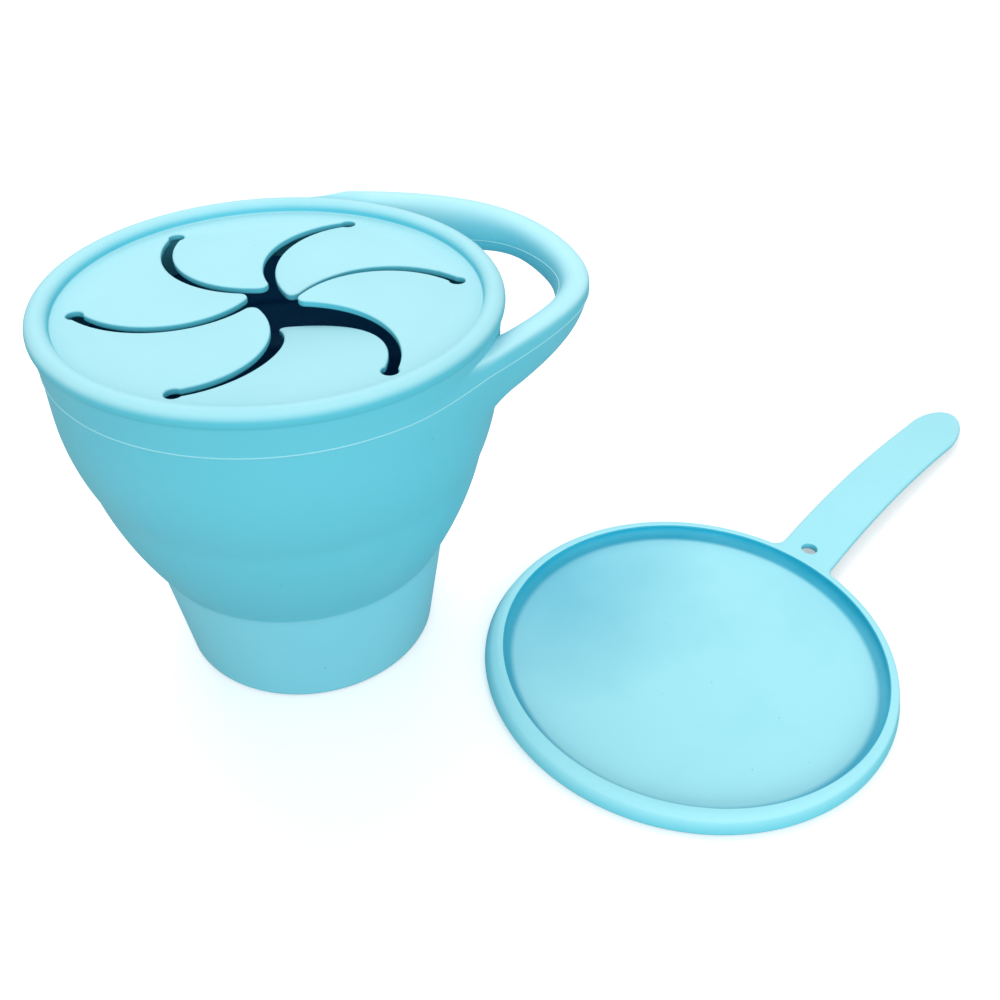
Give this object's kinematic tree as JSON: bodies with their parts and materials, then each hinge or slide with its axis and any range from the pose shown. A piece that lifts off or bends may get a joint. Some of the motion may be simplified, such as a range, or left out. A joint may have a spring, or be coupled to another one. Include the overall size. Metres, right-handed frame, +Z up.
{
  "type": "toddler snack container",
  "caption": "Collapsible silicone snack cup with a finger-loop handle, a lid with swirling slits and soft flaps, and a separate press-on cover with a strap.",
  "frame": {"origin": "centre of the cup's foot, on the table that the cup and the cover lie on", "axes": "+Z up along the cup's axis, +X out along the middle of the handle, +Y to the left of the handle seen from above"},
  "size_m": [0.2578, 0.1606, 0.0908],
  "materials": {
    "cup_silicone": "satin",
    "lid_silicone": "satin",
    "cover_silicone": "satin"
  },
  "bodies": {
    "base": {"cup_base": "cup_silicone", "lower_fold": "cup_silicone"},
    "middle": {"middle_ring": "cup_silicone", "upper_fold": "cup_silicone"},
    "collar": {"cup_collar": "cup_silicone", "carry_handle": "cup_silicone"},
    "snack_lid": {"lid_frame": "lid_silicone"},
    "flap_1": {"flap_1": "lid_silicone"},
    "flap_2": {"flap_2": "lid_silicone"},
    "flap_3": {"flap_3": "lid_silicone"},
    "flap_4": {"flap_4": "lid_silicone"},
    "flap_5": {"flap_5": "lid_silicone"},
    "flap_6": {"flap_6": "lid_silicone"},
    "cover": {"cover_disc": "cover_silicone"},
    "strap": {"cover_strap": "cover_silicone"}
  },
  "joints": [
    {"name": "lower_fold_push", "type": "slide", "parent": "base", "child": "middle", "axis": [0, 0, 1], "range_m": [-0.028, 0], "deforming": ["lower_fold"]},
    {"name": "upper_fold_push", "type": "slide", "parent": "middle", "child": "collar", "axis": [0, 0, 1], "range_m": [-0.02, 0], "deforming": ["upper_fold"]},
    {"name": "snack_lid_lift", "type": "slide", "parent": "collar", "child": "snack_lid", "axis": [0, 0, 1], "range_m": [0, 0.04]},
    {"name": "flap_1_bend", "type": "hinge", "parent": "snack_lid", "child": "flap_1", "pos_m": [0.01061, 0.03152, 0.08665], "axis": [0.9478, -0.319, 0], "range_deg": [-40, 60], "stiffness_Nm_per_rad": 0.005},
    {"name": "flap_2_bend", "type": "hinge", "parent": "snack_lid", "child": "flap_2", "pos_m": [-0.02199, 0.02494, 0.08665], "axis": [0.7501, 0.6613, 0], "range_deg": [-40, 60], "stiffness_Nm_per_rad": 0.005},
    {"name": "flap_3_bend", "type": "hinge", "parent": "snack_lid", "child": "flap_3", "pos_m": [-0.0326, -0.00657, 0.08665], "axis": [-0.1977, 0.9803, 0], "range_deg": [-40, 60], "stiffness_Nm_per_rad": 0.005},
    {"name": "flap_4_bend", "type": "hinge", "parent": "snack_lid", "child": "flap_4", "pos_m": [-0.01061, -0.03152, 0.08665], "axis": [-0.9478, 0.319, 0], "range_deg": [-40, 60], "stiffness_Nm_per_rad": 0.005},
    {"name": "flap_5_bend", "type": "hinge", "parent": "snack_lid", "child": "flap_5", "pos_m": [0.02199, -0.02494, 0.08665], "axis": [-0.7501, -0.6613, 0], "range_deg": [-40, 60], "stiffness_Nm_per_rad": 0.005},
    {"name": "flap_6_bend", "type": "hinge", "parent": "snack_lid", "child": "flap_6", "pos_m": [0.0326, 0.00657, 0.08665], "axis": [0.1977, -0.9803, 0], "range_deg": [-40, 60], "stiffness_Nm_per_rad": 0.005},
    {"name": "cover_lift", "type": "slide", "parent": "base", "child": "cover", "axis": [0.5222, -0.4768, 0.7071], "range_m": [0, 0.09]},
    {"name": "strap_bend", "type": "hinge", "parent": "cover", "child": "strap", "pos_m": [0.12729, -0.04981, 0.00403], "axis": [0.2385, -0.9711, 0], "range_deg": [0, 90], "stiffness_Nm_per_rad": 0.004}
  ]
}
